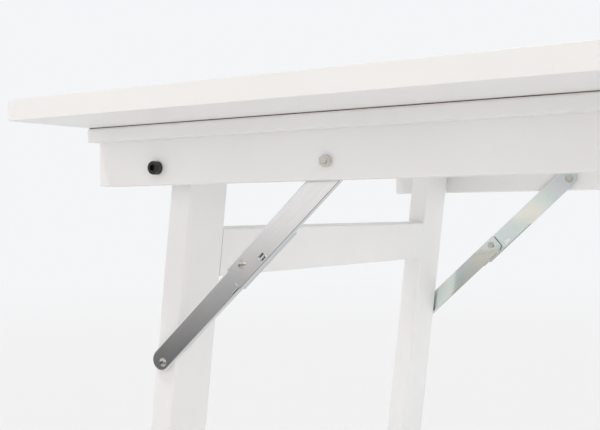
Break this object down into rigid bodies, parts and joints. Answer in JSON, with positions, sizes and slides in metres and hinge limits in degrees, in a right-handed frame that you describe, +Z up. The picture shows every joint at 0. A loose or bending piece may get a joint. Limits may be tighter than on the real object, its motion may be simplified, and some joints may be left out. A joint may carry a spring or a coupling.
{
  "type": "folding table",
  "caption": "White folding table: flat top on two long rails, splayed wooden leg frames that fold up between the rails, held open by two-armed steel stays.",
  "frame": {"origin": "on the floor, under the middle of the top", "axes": "+X along the table's length, +Y across it towards the rear rail, +Z up"},
  "size_m": [1.8358, 0.9, 0.74],
  "materials": {
    "white_top": "white laminate, smooth satin gloss",
    "edge_band": "warm white plastic edge band, satin",
    "white_wood": "white painted wood, satin, faint grain under the paint",
    "bare_wood": "plain beech dowel",
    "zinc_steel": "zinc plated pressed steel",
    "zinc_fastener": "bright zinc plated",
    "black_steel": "black oxide, semi matt",
    "glide_plastic": "white glide, matt",
    "spacer_plastic": "white spacer, matt"
  },
  "bodies": {
    "tabletop": {"batten_screws": "zinc_fastener", "front_batten": "white_wood", "front_edge_band": "edge_band", "front_rail": "white_wood", "left_cross_batten": "white_wood", "left_edge_band": "edge_band", "leg_pivot_screws": "black_steel", "middle_cross_batten": "white_wood", "pivot_spacers": "spacer_plastic", "rail_dowels": "bare_wood", "rear_batten": "white_wood", "rear_edge_band": "edge_band", "rear_rail": "white_wood", "right_cross_batten": "white_wood", "right_edge_band": "edge_band", "stay_bolts": "zinc_fastener", "stay_nuts": "zinc_fastener", "stay_washers": "zinc_fastener", "table_top": "white_top"},
    "left_leg_frame": {"left_front_leg": "white_wood", "left_rear_leg": "white_wood", "left_upper_stretcher": "white_wood", "left_lower_stretcher": "white_wood", "left_stretcher_dowels": "bare_wood", "left_leg_inserts": "zinc_fastener", "left_stay_anchors": "zinc_fastener", "left_foot_glides": "glide_plastic"},
    "left_front_upper_stay": {"left_front_upper_arm": "zinc_steel", "left_front_knee_rivet": "zinc_fastener"},
    "left_front_lower_stay": {"left_front_lower_arm": "zinc_steel", "left_front_leg_screw": "zinc_fastener", "left_front_leg_washer": "zinc_fastener"},
    "left_rear_upper_stay": {"left_rear_upper_arm": "zinc_steel", "left_rear_knee_rivet": "zinc_fastener"},
    "left_rear_lower_stay": {"left_rear_lower_arm": "zinc_steel", "left_rear_leg_screw": "zinc_fastener", "left_rear_leg_washer": "zinc_fastener"},
    "right_leg_frame": {"right_front_leg": "white_wood", "right_rear_leg": "white_wood", "right_upper_stretcher": "white_wood", "right_lower_stretcher": "white_wood", "right_stretcher_dowels": "bare_wood", "right_leg_inserts": "zinc_fastener", "right_stay_anchors": "zinc_fastener", "right_foot_glides": "glide_plastic"},
    "right_front_upper_stay": {"right_front_upper_arm": "zinc_steel", "right_front_knee_rivet": "zinc_fastener"},
    "right_front_lower_stay": {"right_front_lower_arm": "zinc_steel", "right_front_leg_screw": "zinc_fastener", "right_front_leg_washer": "zinc_fastener"},
    "right_rear_upper_stay": {"right_rear_upper_arm": "zinc_steel", "right_rear_knee_rivet": "zinc_fastener"},
    "right_rear_lower_stay": {"right_rear_lower_arm": "zinc_steel", "right_rear_leg_screw": "zinc_fastener", "right_rear_leg_washer": "zinc_fastener"}
  },
  "joints": [
    {"name": "left_leg_fold", "type": "hinge", "parent": "tabletop", "child": "left_leg_frame", "pos_m": [-0.822, 0, 0.678], "axis": [0, -1, 0], "range_deg": [0, 97]},
    {"name": "left_front_stay_pivot", "type": "hinge", "parent": "tabletop", "child": "left_front_upper_stay", "pos_m": [-0.626, -0.3014, 0.678], "axis": [0, -1, 0], "range_deg": [0, 140.84]},
    {"name": "left_front_knee", "type": "hinge", "parent": "left_front_upper_stay", "child": "left_front_lower_stay", "pos_m": [-0.74131, -0.2976, 0.5841], "axis": [0, -1, 0], "range_deg": [-185.24, 0]},
    {"name": "left_rear_stay_pivot", "type": "hinge", "parent": "tabletop", "child": "left_rear_upper_stay", "pos_m": [-0.626, 0.3014, 0.678], "axis": [0, -1, 0], "range_deg": [0, 140.84]},
    {"name": "left_rear_knee", "type": "hinge", "parent": "left_rear_upper_stay", "child": "left_rear_lower_stay", "pos_m": [-0.74131, 0.2976, 0.5841], "axis": [0, -1, 0], "range_deg": [-185.24, 0]},
    {"name": "right_leg_fold", "type": "hinge", "parent": "tabletop", "child": "right_leg_frame", "pos_m": [0.822, 0, 0.678], "axis": [0, 1, 0], "range_deg": [0, 97]},
    {"name": "right_front_stay_pivot", "type": "hinge", "parent": "tabletop", "child": "right_front_upper_stay", "pos_m": [0.626, -0.3014, 0.678], "axis": [0, 1, 0], "range_deg": [0, 140.84]},
    {"name": "right_front_knee", "type": "hinge", "parent": "right_front_upper_stay", "child": "right_front_lower_stay", "pos_m": [0.74131, -0.2976, 0.5841], "axis": [0, 1, 0], "range_deg": [-185.24, 0]},
    {"name": "right_rear_stay_pivot", "type": "hinge", "parent": "tabletop", "child": "right_rear_upper_stay", "pos_m": [0.626, 0.3014, 0.678], "axis": [0, 1, 0], "range_deg": [0, 140.84]},
    {"name": "right_rear_knee", "type": "hinge", "parent": "right_rear_upper_stay", "child": "right_rear_lower_stay", "pos_m": [0.74131, 0.2976, 0.5841], "axis": [0, 1, 0], "range_deg": [-185.24, 0]}
  ],
  "couplings": [
    {"joint": "left_front_stay_pivot", "follows": "left_leg_fold", "ratio": 1.452},
    {"joint": "left_front_knee", "follows": "left_leg_fold", "ratio": -1.9097},
    {"joint": "left_rear_stay_pivot", "follows": "left_leg_fold", "ratio": 1.452},
    {"joint": "left_rear_knee", "follows": "left_leg_fold", "ratio": -1.9097},
    {"joint": "right_front_stay_pivot", "follows": "right_leg_fold", "ratio": 1.452},
    {"joint": "right_front_knee", "follows": "right_leg_fold", "ratio": -1.9097},
    {"joint": "right_rear_stay_pivot", "follows": "right_leg_fold", "ratio": 1.452},
    {"joint": "right_rear_knee", "follows": "right_leg_fold", "ratio": -1.9097}
  ]
}
